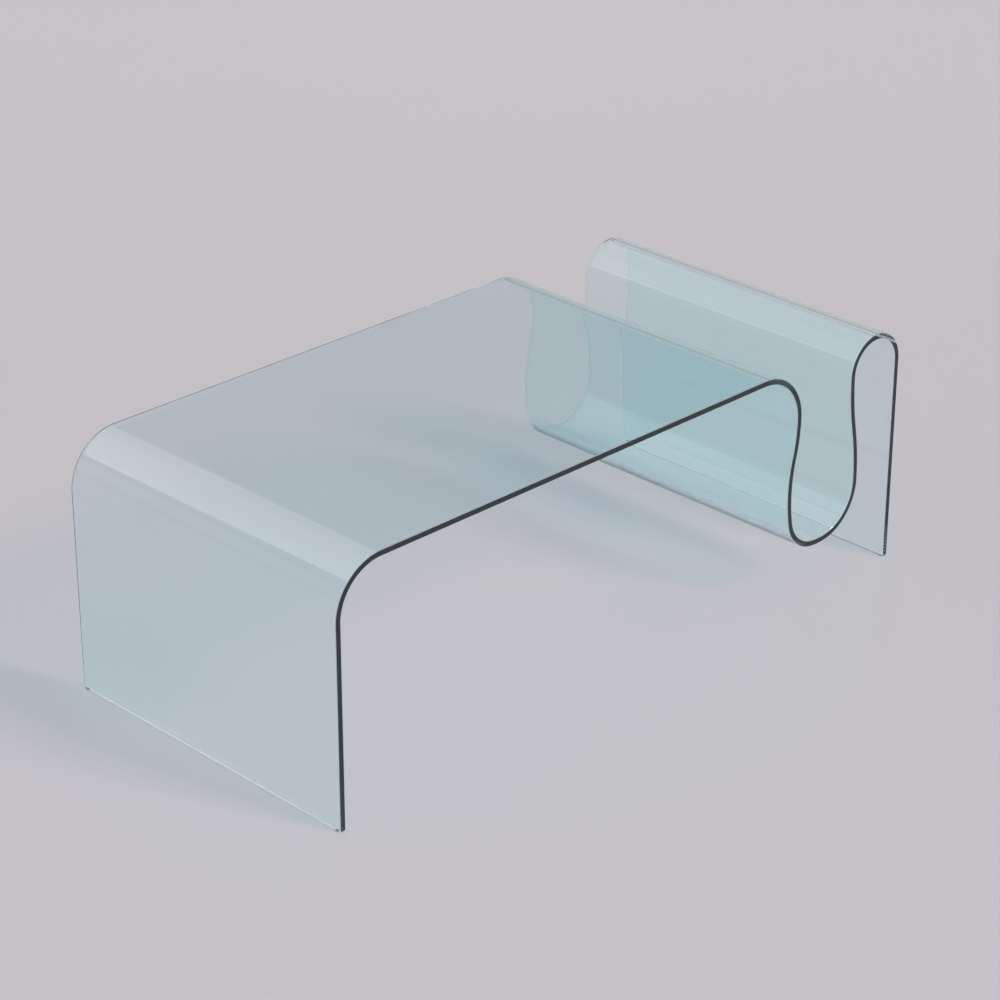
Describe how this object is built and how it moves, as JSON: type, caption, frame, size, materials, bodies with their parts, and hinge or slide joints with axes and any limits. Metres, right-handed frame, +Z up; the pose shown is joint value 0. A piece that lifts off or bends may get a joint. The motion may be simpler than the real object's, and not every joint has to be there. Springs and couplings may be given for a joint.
{
  "type": "bent glass coffee table",
  "caption": "Low waterfall coffee table of bent clear glass, with a hanging magazine trough and an arched leg, standing on small clear pads.",
  "frame": {"origin": "on the floor, under the middle of the table's length and width", "axes": "+X along the table towards the magazine trough and arch, +Y across the sheet, +Z up"},
  "size_m": [1.25, 0.6, 0.43],
  "materials": {
    "clear_glass": "clear float glass with a faint blue-green cast, fire-polished faces, polished flat edges with a small arris",
    "clear_pad": "clear soft polyurethane, glossy, self-adhesive"
  },
  "bodies": {
    "root": {"glass_sheet": "clear_glass", "floor_pad_left_front": "clear_pad", "floor_pad_left_back": "clear_pad", "floor_pad_right_front": "clear_pad", "floor_pad_right_back": "clear_pad"}
  },
  "joints": []
}
